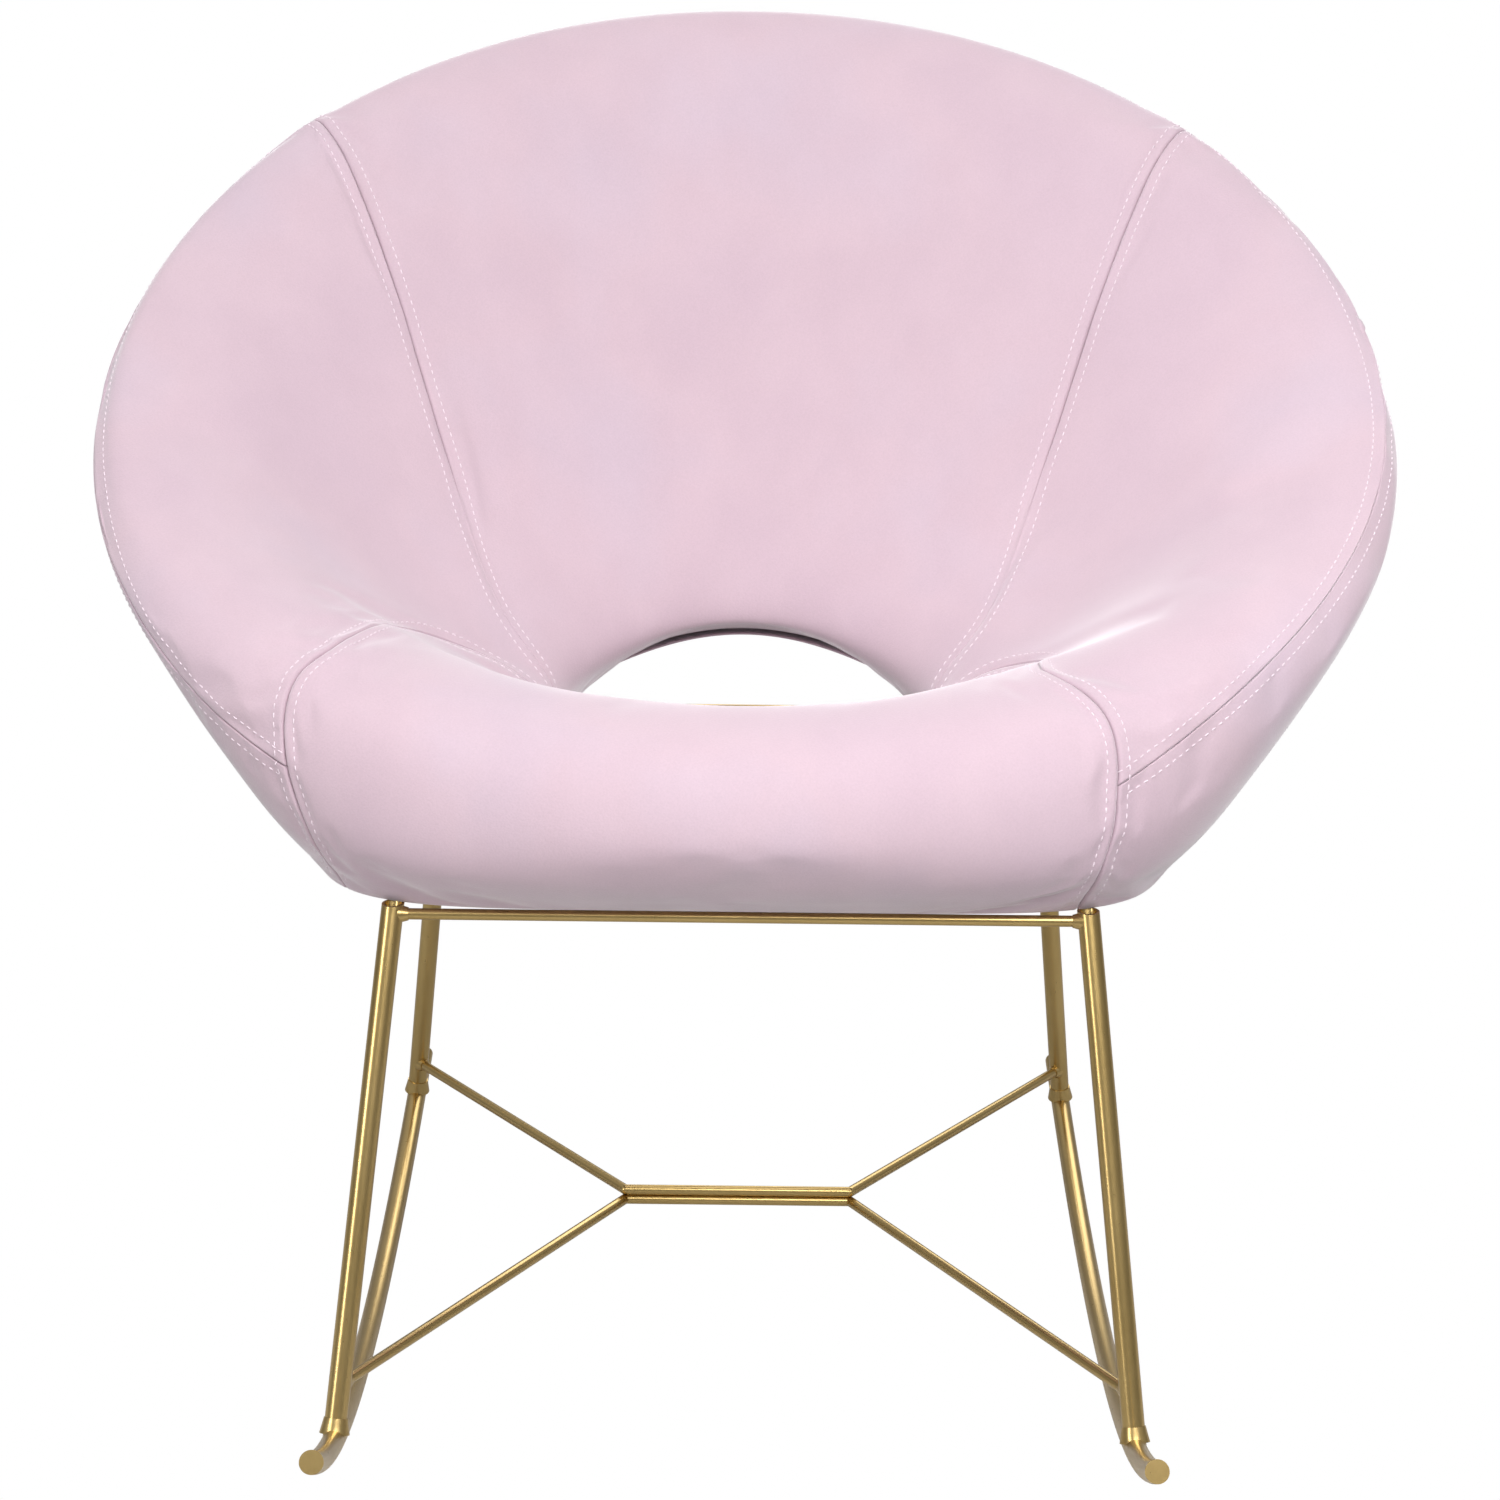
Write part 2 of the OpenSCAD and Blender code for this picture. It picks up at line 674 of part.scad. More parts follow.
module seat_bolts() {
    shank = washer_t + plate_t + dust_t + board_t + 1;
    color(zinc) placed()
        bolt_places()
            translate([0, 0, plate_z - washer_t]) {
                translate([0, 0, -head_h]) cylinder(h = head_h, r = bolt_d * 0.85);
                cylinder(h = shank, r = bolt_d / 2 - 0.05);
            }
}

module bolt_washers() {
    color(zinc) placed()
        bolt_places()
            translate([0, 0, plate_z - washer_t])
                difference() {
                    cylinder(h = washer_t, r = bolt_d);
                    translate([0, 0, -1]) cylinder(h = washer_t + 2, r = bolt_d / 2 + 0.2);
                }
}

module tee_nuts() {
    flange_t = 1.2;
    barrel_h = board_t - 3;
    color(zinc) placed()
        bolt_places()
            translate([0, 0, base_z + board_t])
                difference() {
                    union() {
                        cylinder(h = flange_t, r = bolt_d * 1.5);
                        translate([0, 0, -barrel_h]) cylinder(h = barrel_h + 0.1, r = tee_barrel_r);
                    }
                    translate([0, 0, -barrel_h - 1]) cylinder(h = barrel_h + flange_t + 2, r = bolt_d / 2);
                }
}

left_rocker();
right_rocker();
rocker_end_caps();
front_left_leg();
front_right_leg();
rear_left_leg();
rear_right_leg();
front_rail();
rear_rail();
left_side_rail();
right_side_rail();
front_brace();
rear_brace();
weld_beads();
mounting_plates();
seat_bolts();
bolt_washers();
tee_nuts();
base_board();
dust_cover();
rim_hoop();
hole_hoop();
hoop_struts();
hole_hoop_posts();
webbing_straps();
front_foam();
left_foam();
right_foam();
back_foam();
front_cover();
left_inside_cover();
right_inside_cover();
back_inside_cover();
left_outer_cover();
right_outer_cover();
back_outer_cover();
rear_arch_cover();
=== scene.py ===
"""Looks of the rocking chair: velvet upholstery, seams and stitches, gold frame and inner parts."""

import json
import math

import bpy
import numpy as np
from mathutils import Matrix, Vector
from mathutils.bvhtree import BVHTree


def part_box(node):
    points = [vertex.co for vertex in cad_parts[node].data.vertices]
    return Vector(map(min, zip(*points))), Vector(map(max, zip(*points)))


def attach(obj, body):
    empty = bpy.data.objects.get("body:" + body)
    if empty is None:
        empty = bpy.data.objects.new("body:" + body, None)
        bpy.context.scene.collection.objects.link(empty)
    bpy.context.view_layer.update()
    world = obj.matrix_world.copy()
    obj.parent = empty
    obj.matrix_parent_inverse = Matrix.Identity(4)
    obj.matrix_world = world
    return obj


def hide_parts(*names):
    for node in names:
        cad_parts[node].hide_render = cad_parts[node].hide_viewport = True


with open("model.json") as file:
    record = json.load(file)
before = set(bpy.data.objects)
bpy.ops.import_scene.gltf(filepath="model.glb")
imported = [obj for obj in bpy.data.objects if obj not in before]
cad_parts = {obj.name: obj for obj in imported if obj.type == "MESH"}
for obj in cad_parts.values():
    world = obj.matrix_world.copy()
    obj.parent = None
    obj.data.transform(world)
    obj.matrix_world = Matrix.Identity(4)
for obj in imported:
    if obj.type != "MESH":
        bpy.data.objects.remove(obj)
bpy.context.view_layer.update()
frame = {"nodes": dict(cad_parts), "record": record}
nodes = frame["nodes"]

MM = 0.001


def centre(node):
    low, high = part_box(node)
    return (low + high) / 2


# Middle of the seat frame, which the seat's own coordinates are measured from
MID_Y = (centre("front_rail").y + centre("rear_rail").y) / 2
# Underside of the plywood, in millimetres, where the covers end
BASE_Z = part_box("base_board")[0].z / MM

# ---- The outside of the seat, in millimetres from the middle of the seat frame ----
SEAT_HW = 391
SEAT_FRONT_Y = -260
SEAT_BACK_Y = 364
FRONT_H = 448
SIDE_H = 590
BACK_H = 775
BASE_HW = 246
BASE_HD = 207
LIP_Z = BASE_Z - 1.2  # bottom edge of the covers
HOLE_HW = 131
HOLE_FRONT_Y = -98
HOLE_BACK_Y = 146
ARCH_H = 68
ARCH_HW = 150
ARCH_POWER = 1.3
ARCH_FULL_Y = 100  # the arch grows from y = 0 to its full height here

# Steps of azimuth and t that the surface's normals are measured over
A_STEP = 0.5
T_STEP = 0.02

# y and z at the front, y and z at the back, half width, z at the sides, squareness, share of the arch
CURVES = np.array([
    [-BASE_HD, LIP_Z, BASE_HD, LIP_Z, BASE_HW, LIP_Z, 5.5, 0.7],
    [SEAT_FRONT_Y + 12, BASE_Z + 27, SEAT_BACK_Y - 102, BACK_H - 297, BASE_HW + 54, BASE_Z + 77, 3.2, 0.37],
    [SEAT_FRONT_Y, BASE_Z + 55, SEAT_BACK_Y - 14, BACK_H - 89, SEAT_HW - 6, SIDE_H - 54, 2.15, 0.12],
    [SEAT_FRONT_Y + 20, FRONT_H - 15, SEAT_BACK_Y, BACK_H - 13, SEAT_HW, SIDE_H - 12, 2.05, 0],
    [SEAT_FRONT_Y + 67, FRONT_H, SEAT_BACK_Y - 28, BACK_H, SEAT_HW - 25, SIDE_H, 2.05, 0],
    [SEAT_FRONT_Y + 110, FRONT_H - 4, SEAT_BACK_Y - 79, BACK_H - 59, SEAT_HW - 86, SIDE_H - 32, 2, 0],
    [HOLE_FRONT_Y - 20, FRONT_H - 28, HOLE_BACK_Y + 49, BASE_Z + 206, HOLE_HW + 74, SIDE_H - 122, 2, 0],
    [HOLE_FRONT_Y, BASE_Z + 48, HOLE_BACK_Y - 24, BASE_Z + 84, HOLE_HW - 12, BASE_Z + 60, 2, 0],
    [HOLE_FRONT_Y, BASE_Z, HOLE_BACK_Y, BASE_Z, HOLE_HW, BASE_Z, 2.2, 1],
])
LAST = len(CURVES) - 1


def curve_point(k, a):
    """Points on curves k at azimuths a in degrees: 0 is the front, 90 the right, 180 the back."""
    y_front, z_front, y_back, z_back, hw, z_side, square, share = np.moveaxis(CURVES[k], -1, 0)
    sin, cos = np.sin(np.radians(a)), np.cos(np.radians(a))
    half_d = (y_back - y_front) / 2
    reach = (np.abs(sin / hw) ** square + np.abs(cos / half_d) ** square) ** (-1 / square)
    x = reach * sin
    c = reach * cos / half_d
    y = (y_front + y_back) / 2 - half_d * c
    z = z_side + (z_front - z_back) / 2 * c + ((z_front + z_back) / 2 - z_side) * c * c
    arch = ARCH_H * share * np.maximum(0, 1 - (x / ARCH_HW) ** 2) ** ARCH_POWER
    return np.stack([x, y, z + arch * np.clip(y / ARCH_FULL_Y, 0, 1)], -1)


def control(k, a):
    """Curve points, carried straight on past either end."""
    inside = curve_point(np.clip(k, 0, LAST), a)
    before = 2 * curve_point(np.zeros_like(k), a) - curve_point(np.ones_like(k), a)
    after = 2 * curve_point(np.full_like(k, LAST), a) - curve_point(np.full_like(k, LAST - 1), a)
    k = k[..., None]
    return np.where(k < 0, before, np.where(k > LAST, after, inside))


def skin(a, t):
    """Points on the seat's surface at azimuths a and t, which counts the curves from 0 to 8."""
    a, t = np.broadcast_arrays(np.asarray(a, float), np.asarray(t, float))
    k = np.clip(np.floor(t), 0, LAST - 1).astype(int)
    u = (t - k)[..., None]
    p0, p1, p2, p3 = (control(k + i, a) for i in (-1, 0, 1, 2))
    return (2 * p1 + (p2 - p0) * u + (2 * p0 - 5 * p1 + 4 * p2 - p3) * u ** 2
            + (3 * p1 - p0 - 3 * p2 + p3) * u ** 3) / 2


def outward(a, t):
    """Unit normals of the seat's surface."""
    t0, t1 = np.maximum(0, t - T_STEP), np.minimum(LAST, t + T_STEP)
    n = np.cross(skin(a + A_STEP, t) - skin(a - A_STEP, t), skin(a, t1) - skin(a, t0))
    return n / np.linalg.norm(n, axis=-1, keepdims=True)


def to_frame(points):
    """Seat coordinates in millimetres to the row frame in metres."""
    return points * MM + np.array([0, MID_Y, 0])


# ---- Seams: azimuths at each t, and t at each azimuth ----
LINE_SAMPLES = 241
ROUNDING = 11  # samples either side that a corner of a seam is rounded over


def lookup(x, pairs):
    """Reads at x the line through the pairs, with its corners rounded."""
    xs, ys = zip(*pairs)
    fine = np.interp(np.linspace(0, 1, LINE_SAMPLES) * (xs[-1] - xs[0]) + xs[0], xs, ys)
    window = np.hanning(2 * ROUNDING + 1)
    before = 2 * fine[0] - fine[ROUNDING:0:-1]
    after = 2 * fine[-1] - fine[-2:-ROUNDING - 2:-1]
    smooth = np.convolve(np.concatenate([before, fine, after]), window / window.sum(), "valid")
    return np.interp(x, np.linspace(xs[0], xs[-1], LINE_SAMPLES), smooth)


def front_left_edge(t):
    return -lookup(t, [(0, 52), (2, 47), (3.8, 47), (4.4, 49), (5, 53), (5.5, 61), (6, 74),
                       (6.6, 84), (8, 88)])


def front_right_edge(t):
    return lookup(t, [(0, 44), (2, 38), (4.1, 38), (4.6, 39), (5.3, 46), (5.9, 64), (6.4, 77),
                      (6.6, 83), (8, 88)])


def back_edge(t):
    return lookup(t, [(0, 132), (2, 127), (3.2, 125), (4.4, 122), (5.4, 118), (6.1, 112), (6.6, 99), (8, 94)])


def back_left_edge(t):
    return -back_edge(t)


def back_left_edge_round(t):
    """The back left seam, counted on from the right, past 180 degrees."""
    return 360 - back_edge(t)


def rim_seam_right(a):
    return lookup(a, [(37, 2.1), (46, 2.45), (57, 2.83), (69, 3.1), (80, 3.2), (120, 3.2), (180, 3.1)])


def rim_seam_left(a):
    return lookup(a, [(45, 1.78), (58, 1.92), (70, 2.2), (90, 2.6), (120, 3.0), (180, 3.1)])


def mix(a, b, u):
    return a + (b - a) * u


def rim_seam(a):
    """t of the rim seam at azimuths that run from -180 to 360."""
    a = np.where(a > 180, a - 360, a)
    return np.where(a > 0, rim_seam_right(np.abs(a)), rim_seam_left(np.abs(a)))


# ---- Materials ----
class Nodes:
    """Short way to build a node material."""

    def __init__(self, name):
        self.material = bpy.data.materials.new(name)
        self.material.use_nodes = True
        self.tree = self.material.node_tree
        self.shader = self.tree.nodes["Principled BSDF"]
        coords = self.add("ShaderNodeTexCoord")
        self.position = coords.outputs["Object"]

    def add(self, kind, **values):
        node = self.tree.nodes.new(kind)
        for key, value in values.items():
            setattr(node, key, value)
        return node

    def link(self, a, b):
        self.tree.links.new(a, b)

    def put(self, **values):
        for key, value in values.items():
            self.shader.inputs[key.replace("_", " ")].default_value = value

    def noise(self, scale, detail, stretch=(1, 1, 1)):
        mapping = self.add("ShaderNodeMapping")
        mapping.inputs["Scale"].default_value = stretch
        self.link(self.position, mapping.inputs["Vector"])
        node = self.add("ShaderNodeTexNoise")
        node.inputs["Scale"].default_value = scale
        node.inputs["Detail"].default_value = detail
        self.link(mapping.outputs["Vector"], node.inputs["Vector"])
        return node.outputs[0]

    def ramp(self, factor, stops):
        node = self.add("ShaderNodeValToRGB")
        ramp = node.color_ramp
        while len(ramp.elements) < len(stops):
            ramp.elements.new(0.5)
        for element, (place, colour) in zip(ramp.elements, stops):
            element.position = place
            element.color = (*colour, 1)
        self.link(factor, node.inputs["Fac"])
        return node.outputs["Color"]

    def blend(self, factor, a, b, mode="MIX"):
        """Mixes colours a and b, which are the sockets 6 and 7 of a mix node set to colour."""
        node = self.add("ShaderNodeMix", data_type="RGBA", blend_type=mode)
        node.inputs["Factor"].default_value = factor
        self.link(a, node.inputs[6])
        self.link(b, node.inputs[7])
        return node.outputs[2]

    def map_range(self, value, low, high):
        node = self.add("ShaderNodeMapRange")
        node.inputs["To Min"].default_value = low
        node.inputs["To Max"].default_value = high
        self.link(value, node.inputs["Value"])
        return node.outputs["Result"]

    def bump(self, height, distance, strength=1.0, under=None):
        node = self.add("ShaderNodeBump")
        node.inputs["Strength"].default_value = strength
        node.inputs["Distance"].default_value = distance
        self.link(height, node.inputs["Height"])
        if under is not None:
            self.link(under, node.inputs["Normal"])
        return node.outputs["Normal"]


def velvet_material():
    m = Nodes("velvet")
    wide = m.noise(5.5, 4, (1, 1, 0.7))
    brushed = m.noise(26, 5, (1, 1, 0.45))
    fine = m.noise(900, 2)
    nap = m.ramp(wide, [(0.36, (0.56, 0.425, 0.49)), (0.5, (0.58, 0.44, 0.50)),
                        (0.64, (0.565, 0.445, 0.515))])
    streaks = m.ramp(brushed, [(0.35, (0.965, 0.96, 0.965)), (0.65, (1.0, 1.0, 1.0))])
    pile = m.ramp(fine, [(0.3, (0.94, 0.94, 0.94)), (0.7, (1.0, 1.0, 1.0))])
    colour = m.blend(1.0, m.blend(1.0, nap, streaks, "MULTIPLY"), pile, "MULTIPLY")
    m.link(colour, m.shader.inputs["Base Color"])
    m.link(m.map_range(brushed, 0.78, 0.94), m.shader.inputs["Roughness"])
    m.put(Sheen_Weight=1.0, Sheen_Roughness=0.42, Sheen_Tint=(1.0, 0.98, 1.0, 1), Specular_IOR_Level=0.18)
    soft = m.bump(brushed, 0.0004, 0.35)
    m.link(m.bump(fine, 0.00018, 0.7, soft), m.shader.inputs["Normal"])
    return m.material


def stitch_material():
    m = Nodes("stitch_thread")
    twist = m.noise(1800, 1)
    tone = m.ramp(twist, [(0.3, (0.70, 0.57, 0.64)), (0.7, (0.84, 0.73, 0.79))])
    m.link(tone, m.shader.inputs["Base Color"])
    m.put(Roughness=0.6, Sheen_Weight=0.3)
    m.link(m.bump(twist, 0.0001, 0.6), m.shader.inputs["Normal"])
    return m.material


def gold_material():
    m = Nodes("satin_gold")
    cloud = m.noise(14, 4)
    grain = m.noise(420, 3, (1, 1, 0.08))
    speck = m.noise(2600, 2)
    tone = m.ramp(cloud, [(0.3, (0.50, 0.35, 0.135)), (0.7, (0.57, 0.41, 0.17))])
    brushing = m.ramp(grain, [(0.3, (0.46, 0.33, 0.13)), (0.7, (0.60, 0.44, 0.19))])
    m.link(m.blend(0.15, tone, brushing), m.shader.inputs["Base Color"])
    m.link(m.map_range(grain, 0.26, 0.31), m.shader.inputs["Roughness"])
    m.put(Metallic=1.0)
    m.link(m.bump(speck, 0.00001, 0.08, m.bump(grain, 0.00001, 0.1)), m.shader.inputs["Normal"])
    return m.material


def metal_material(name, low, high, rough_low, rough_high, metallic=1.0):
    m = Nodes(name)
    cloud = m.noise(60, 5)
    m.link(m.ramp(cloud, [(0.3, low), (0.7, high)]), m.shader.inputs["Base Color"])
    m.link(m.map_range(m.noise(300, 3), rough_low, rough_high), m.shader.inputs["Roughness"])
    m.put(Metallic=metallic)
    m.link(m.bump(cloud, 0.0002, 0.3), m.shader.inputs["Normal"])
    return m.material


def plywood_material():
    m = Nodes("plywood")
    grain = m.noise(9, 8, (1, 14, 1))
    plies = m.add("ShaderNodeTexWave", bands_direction="Z")
    plies.inputs["Scale"].default_value = 55
    plies.inputs["Distortion"].default_value = 0.4
    m.link(m.position, plies.inputs["Vector"])
    face = m.ramp(grain, [(0.3, (0.50, 0.33, 0.18)), (0.7, (0.66, 0.48, 0.29))])
    layer = m.ramp(plies.outputs["Fac"], [(0.35, (0.72, 0.62, 0.5)), (0.65, (1, 1, 1))])
    m.link(m.blend(0.7, face, layer, "MULTIPLY"), m.shader.inputs["Base Color"])
    m.link(m.map_range(grain, 0.55, 0.75), m.shader.inputs["Roughness"])
    m.link(m.bump(grain, 0.0004, 0.4), m.shader.inputs["Normal"])
    return m.material


def woven_material(name, low, high, pitch):
    """Plain weave of threads, with one thread each way per pitch in metres."""
    m = Nodes(name)
    heights = []
    for axis in ("X", "Y"):
        wave = m.add("ShaderNodeTexWave", bands_direction=axis)
        wave.inputs["Scale"].default_value = 1 / pitch / 20 * math.pi
        wave.inputs["Distortion"].default_value = 0.6
        m.link(m.position, wave.inputs["Vector"])
        heights.append(wave.outputs["Fac"])
    weave = m.add("ShaderNodeMath", operation="MULTIPLY")
    m.link(heights[0], weave.inputs[0])
    m.link(heights[1], weave.inputs[1])
    m.link(m.ramp(weave.outputs[0], [(0.05, low), (0.6, high)]), m.shader.inputs["Base Color"])
    m.link(m.map_range(m.noise(40, 3), 0.77, 0.93), m.shader.inputs["Roughness"])
    m.put(Specular_IOR_Level=0.25)
    m.link(m.bump(weave.outputs[0], 0.0003, 0.8), m.shader.inputs["Normal"])
    return m.material


VELVET = velvet_material()
THREAD = stitch_material()
GOLD = gold_material()
ZINC = metal_material("zinc", (0.50, 0.50, 0.49), (0.64, 0.64, 0.62), 0.28, 0.42)
RAW_STEEL = metal_material("raw_steel", (0.055, 0.058, 0.065), (0.10, 0.105, 0.115), 0.45, 0.6, 0.6)
PLYWOOD = plywood_material()
DUST_CLOTH = woven_material("dust_cloth", (0.006, 0.006, 0.007), (0.022, 0.022, 0.024), 0.0011)
WEBBING = woven_material("webbing", (0.35, 0.31, 0.24), (0.66, 0.62, 0.52), 0.0018)

by_slot = {"satin_gold": GOLD, "zinc": ZINC, "raw_steel": RAW_STEEL, "plywood": PLYWOOD,
           "dust_cloth": DUST_CLOTH, "webbing": WEBBING}
for part in frame["record"]["subparts"]:
    if part["material_slot"] in by_slot:
        part_mesh = nodes[part["node"]].data
        part_mesh.materials.clear()
        part_mesh.materials.append(by_slot[part["material_slot"]])


# ---- Upholstery ----
SEAM_DEPTH = 1.3   # how far the seams lie under the seat's surface
START_DEPTH = 1.4  # how far the rest of the cloth starts under it, before it swells
SEAM_REACH = 8     # distance from a seam over which the one depth turns into the other
BASE_EASE_T = 0.4  # t below which the cloth comes out to the surface, so that it ends on the base
SWELL_CAP = 2.2    # most that a point of the cloth may move
CLOTH_FRAMES = 20
TUCK = 7.0         # seam allowance turned inwards
BASE_TURN = 19     # cloth turned under the seat round its outside, and round the hole
HOLE_TURN = 33
TURN_RISE = 1.6    # how far the end of that cloth lies above its edge
CLOTH_T = 1.4
EDGE_CROWDING = 0.6  # how much finer a panel's grid is near its edges


def crowded(n):
    """n + 1 values from 0 to 1, closer together at both ends."""
    s = np.linspace(0, 1, n + 1)
    return s - EDGE_CROWDING * np.sin(2 * np.pi * s) / (2 * np.pi)


def grid_faces(nu, nv):
    i, j = np.meshgrid(np.arange(nu - 1), np.arange(nv - 1), indexing="ij")
    a = i * nv + j
    return np.stack([a, a + nv, a + nv + 1, a + 1], -1).reshape(-1, 4)


def mesh_object(name, points, faces, material):
    mesh = bpy.data.meshes.new(name)
    mesh.from_pydata([tuple(p) for p in points], [], [tuple(int(i) for i in f) for f in faces])
    mesh.materials.append(material)
    mesh.polygons.foreach_set("use_smooth", [True] * len(mesh.polygons))
    mesh.update()
    piece = bpy.data.objects.new(name, mesh)
    bpy.context.scene.collection.objects.link(piece)
    return piece


def panel_grid(edge0, edge1, t_low, t_high, nu, nv):
    """Azimuths and t of a panel's grid, whose sides follow the seams."""
    u, v = np.meshgrid(crowded(nu), crowded(nv), indexing="ij")
    t = mix(t_low(u), t_high(u), v)
    a = mix(edge0(t), edge1(t), u)
    return a, t


def edge_distance(points):
    """Distance along the grid from each point to the nearest side of the panel, in millimetres."""
    def along(p):
        step = np.linalg.norm(np.diff(p, axis=0), axis=-1)
        run = np.concatenate([np.zeros((1, p.shape[1])), np.cumsum(step, 0)])
        return np.minimum(run, run[-1] - run)
    return along(points), along(points.swapaxes(0, 1)).T


def cloth_panel(name, edge0, edge1, t_low, t_high, nu, nv):
    """A panel before it swells, pinned along its seams."""
    a, t = panel_grid(edge0, edge1, t_low, t_high, nu, nv)
    surface, normal = skin(a, t), outward(a, t)
    side, end = edge_distance(surface)
    near = np.minimum(side, end)
    depth = START_DEPTH + (SEAM_DEPTH - START_DEPTH) * np.exp(-(near / SEAM_REACH) ** 2)
    depth *= np.minimum(1, 0.1 + t / BASE_EASE_T)
    start = surface - depth[..., None] * normal
    piece = mesh_object(name, to_frame(start).reshape(-1, 3), grid_faces(nu + 1, nv + 1), VELVET)
    pins = piece.vertex_groups.new(name="pins")
    pins.add([int(i) for i in np.flatnonzero(near.ravel() < 0.01)], 1.0, "REPLACE")
    return {"piece": piece, "start": start, "normal": normal, "near": near}


def add_cloth(panel):
    cloth = panel["piece"].modifiers.new("cloth", "CLOTH")
    s = cloth.settings
    s.quality = 6
    s.mass = 0.25
    s.tension_stiffness = s.compression_stiffness = 25
    s.shear_stiffness = 8
    s.bending_stiffness = 2.0
    s.use_pressure = True
    s.uniform_pressure_force = 3
    s.vertex_group_mass = "pins"
    s.effector_weights.gravity = 0
    s.shrink_min = -0.004
    cloth.collision_settings.use_collision = False
    cloth.point_cache.frame_start = 1
    cloth.point_cache.frame_end = CLOTH_FRAMES


def swollen(panels):
    """Runs the cloth of every panel and returns how far each point moved, in millimetres."""
    scene = bpy.context.scene
    for panel in panels:
        add_cloth(panel)
    for number in range(1, CLOTH_FRAMES + 1):
        scene.frame_set(number)
    graph = bpy.context.evaluated_depsgraph_get()
    moves = []
    for panel in panels:
        result = panel["piece"].evaluated_get(graph).data
        co = np.zeros(len(result.vertices) * 3)
        result.vertices.foreach_get("co", co)
        moved = (co.reshape(-1, 3) - to_frame(panel["start"]).reshape(-1, 3)) / MM
        moves.append(moved.reshape(panel["start"].shape))
    for panel in panels:
        panel["piece"].modifiers.clear()
        panel["piece"].vertex_groups.clear()
    scene.frame_set(1)
    return moves


RIM_T = 3.0  # t close to the rim seam, where the other seams' azimuths are read for it


def base_line(u):
    return np.zeros_like(u)


def hole_line(u):
    return np.full_like(u, float(LAST))


def rim_of(edge0, edge1):
    """The rim seam between two other seams, as a line that gives t for u from 0 to 1."""
    def line(u):
        t = np.full_like(u, RIM_T)
        return rim_seam(mix(edge0(t), edge1(t), u))
    return line


left_rim = rim_of(back_left_edge, front_left_edge)
right_rim = rim_of(front_right_edge, back_edge)
back_rim = rim_of(back_edge, back_left_edge_round)

# Name, seams at both sides, lines at both ends, grid cells across and along, CAD nodes it stands for
PANELS = [
    ("front_panel", front_left_edge, front_right_edge, base_line, hole_line, 72, 76,
     ["front_cover", "front_foam"]),
    ("left_inside_panel", back_left_edge, front_left_edge, left_rim, hole_line, 72, 60,
     ["left_inside_cover", "left_foam"]),
    ("right_inside_panel", front_right_edge, back_edge, right_rim, hole_line, 72, 60,
     ["right_inside_cover", "right_foam"]),
    ("back_inside_panel", back_edge, back_left_edge_round, back_rim, hole_line, 88, 68,
     ["back_inside_cover", "back_foam"]),
    ("left_outer_panel", back_left_edge, front_left_edge, base_line, left_rim, 72, 44, ["left_outer_cover"]),
    ("right_outer_panel", front_right_edge, back_edge, base_line, right_rim, 72, 44, ["right_outer_cover"]),
    ("back_outer_panel", back_edge, back_left_edge_round, base_line, back_rim, 88, 60, ["back_outer_cover"]),
]
panels = [cloth_panel(*shape) for *shape, _ in PANELS]


moves = swollen(panels)


def capped(move):
    """The moves, none of them longer than SWELL_CAP."""
    length = np.linalg.norm(move, axis=-1, keepdims=True)
    return move * (SWELL_CAP * np.tanh(length / SWELL_CAP) / np.maximum(length, 1e-9))


def turned_under(line, way, reach):
    """Rows that carry a panel's edge on underneath: first round the edge, then flat."""
    rows = []
    for share, z in ((0.06, -0.5), (0.2, -0.4), (0.55, 0.0), (1.0, TURN_RISE)):
        row = line + way * reach * share
        row[:, 2] = line[:, 2] + z
        rows.append(row)
    return rows


def apply_modifiers(piece):
    graph = bpy.context.evaluated_depsgraph_get()
    mesh = bpy.data.meshes.new_from_object(piece.evaluated_get(graph))
    piece.modifiers.clear()
    piece.data = mesh


def make_cloth(piece, offset):
    """Rounds off a sheet and gives it the cloth's thickness, on the side that offset says."""
    subdivision = piece.modifiers.new("subdivision", "SUBSURF")
    subdivision.levels = subdivision.render_levels = 1
    thickness = piece.modifiers.new("thickness", "SOLIDIFY")
    thickness.thickness = CLOTH_T * MM
    thickness.offset = offset
    apply_modifiers(piece)


def finish_panel(panel, move, replaced, ends_at_base, ends_at_hole):
    """Writes the swollen shape, with tucked seam allowances and turned-under ends."""
    points = panel["start"] + capped(move)
    normal = panel["normal"]
    low_end, high_end = points[:, 0], points[:, -1]
    if ends_at_base:
        flat = low_end * [1, 1, 0]
        inward = -flat / np.linalg.norm(flat, axis=-1, keepdims=True)
        rows_low = turned_under(low_end, inward, BASE_TURN)[::-1]
    else:
        rows_low = [low_end - normal[:, 0] * TUCK]
    if ends_at_hole:
        flat = (high_end - [0, (HOLE_FRONT_Y + HOLE_BACK_Y) / 2, 0]) * [1, 1, 0]
        away = flat / np.linalg.norm(flat, axis=-1, keepdims=True)
        rows_high = turned_under(high_end, away, HOLE_TURN)
    else:
        rows_high = [high_end - normal[:, -1] * TUCK]
    grid = np.concatenate([np.stack(rows_low, 1), points, np.stack(rows_high, 1)], 1)
    side_normals = np.pad(normal[[0, -1]], ((0, 0), (len(rows_low), len(rows_high)), (0, 0)), "edge")
    tucked = grid[[0, -1]] - side_normals * TUCK
    grid = np.concatenate([tucked[:1], grid, tucked[1:]])
    name = panel["piece"].name
    bpy.data.objects.remove(panel["piece"])
    piece = mesh_object(name, to_frame(grid).reshape(-1, 3), grid_faces(*grid.shape[:2]), VELVET)
    make_cloth(piece, -1)
    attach(piece, "root")
    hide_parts(*replaced)
    return piece


